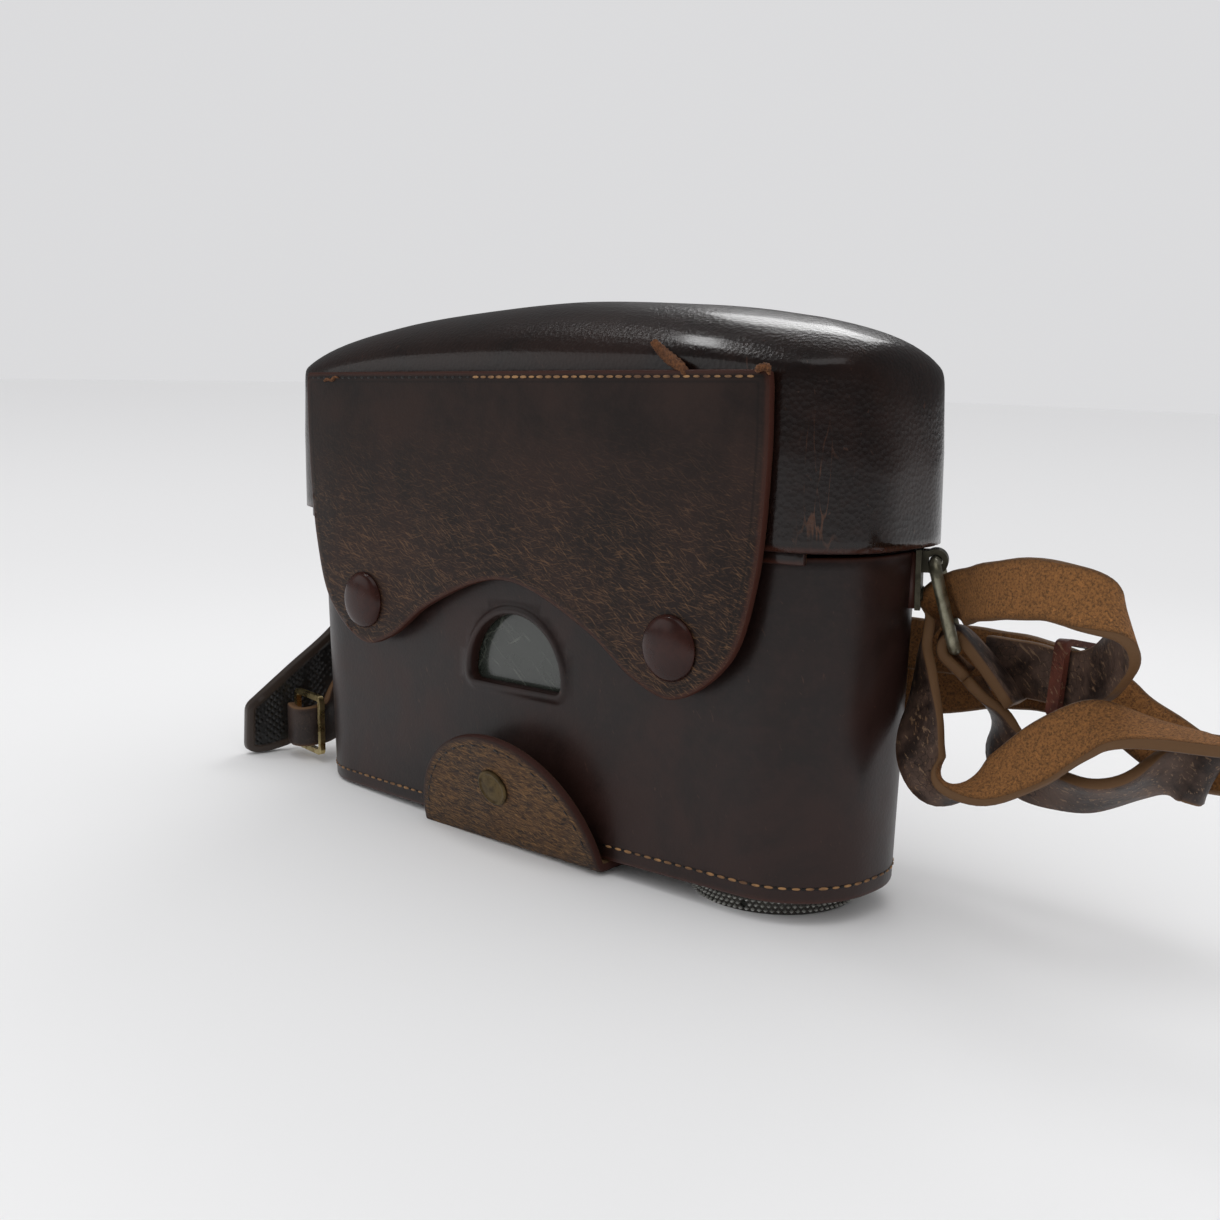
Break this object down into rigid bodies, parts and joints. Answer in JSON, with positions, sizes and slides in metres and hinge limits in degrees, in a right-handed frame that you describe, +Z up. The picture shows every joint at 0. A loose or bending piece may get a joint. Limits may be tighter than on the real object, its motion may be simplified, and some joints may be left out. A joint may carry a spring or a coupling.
{
  "type": "leather camera case",
  "caption": "Hard leather camera case with domed hinged lid, snapped front flap, window, carrying screw and neck strap with shoulder pad.",
  "frame": {"origin": "middle of the flat underside of the case", "axes": "+X to the end with the carrying screw, as seen from the front on the right; +Y to the back, where the lid hinges; +Z up"},
  "size_m": [0.2406, 0.0609, 0.1142],
  "materials": {
    "leather_body": "satin",
    "leather_tab": "worn",
    "lining": "matte",
    "pane": "satin",
    "brass_parts": "satin",
    "plated_metal": "worn",
    "cap_lacquer": "gloss",
    "knob_metal": "satin",
    "strap_leather": "matte",
    "keeper_leather": "satin",
    "pad_rubber": "matte"
  },
  "bodies": {
    "case": {"body_shell": "leather_body", "bottom_panel": "leather_body", "base_pad": "lining", "body_lining": "lining", "window_pane": "pane", "window_frame": "lining", "hinge_strip": "leather_body", "snap_stud_left": "brass_parts", "snap_stud_right": "brass_parts", "stud_washer_left": "brass_parts", "stud_washer_right": "brass_parts", "tab_base": "leather_tab", "tab_stud": "brass_parts", "screw_bush": "brass_parts", "lug_left": "plated_metal", "lug_right": "plated_metal", "lug_rivets_left": "plated_metal", "lug_rivets_right": "plated_metal", "strap_lower": "strap_leather", "strap_upper": "strap_leather", "strap_keeper": "keeper_leather", "shoulder_pad": "pad_rubber", "pad_loop_lower": "brass_parts", "pad_loop_upper": "brass_parts"},
    "lid": {"lid_shell": "leather_body", "lid_lining": "lining", "flap_seam": "leather_body"},
    "flap": {"flap_panel": "leather_body", "snap_cap_left": "cap_lacquer", "snap_cap_right": "cap_lacquer", "snap_socket_left": "brass_parts", "snap_socket_right": "brass_parts"},
    "tab": {"tab_leather": "leather_tab", "tab_cap": "cap_lacquer", "tab_socket": "brass_parts"},
    "washer": {"knob_washer": "plated_metal"},
    "screw": {"screw_knob": "knob_metal", "screw_shank": "knob_metal", "keeper_clip": "knob_metal"},
    "ring_right_body": {"ring_right": "plated_metal", "strap_ring_end": "strap_leather"},
    "ring_left_body": {"ring_left": "plated_metal"}
  },
  "joints": [
    {"name": "lid_hinge", "type": "hinge", "parent": "case", "child": "lid", "pos_m": [0, 0.021, 0.0637], "axis": [-1, 0, 0], "range_deg": [0, 150]},
    {"name": "flap_hinge", "type": "hinge", "parent": "lid", "child": "flap", "pos_m": [0, -0.024, 0.0927], "axis": [-1, 0, 0], "range_deg": [0, 150]},
    {"name": "tab_hinge", "type": "hinge", "parent": "case", "child": "tab", "pos_m": [0, -0.0205, -0.002], "axis": [1, 0, 0], "range_deg": [-11, 90]},
    {"name": "screw_slide", "type": "slide", "parent": "case", "child": "washer", "axis": [0, 0, 1], "range_m": [-0.0024, 0]},
    {"name": "knob_spin", "type": "hinge", "parent": "washer", "child": "screw", "pos_m": [0.0523, 0, 0], "axis": [0, 0, 1], "continuous": true},
    {"name": "ring_right_swing", "type": "hinge", "parent": "case", "child": "ring_right_body", "pos_m": [0.07845, 0.01136, 0.0614], "axis": [-0.4695, 0.8829, 0], "range_deg": [-60, 12], "deforming": ["strap_ring_end", "strap_upper"]},
    {"name": "ring_left_swing", "type": "hinge", "parent": "case", "child": "ring_left_body", "pos_m": [-0.07845, 0.01136, 0.0614], "axis": [0.4695, 0.8829, 0], "range_deg": [-12, 60], "deforming": ["strap_lower"]}
  ]
}
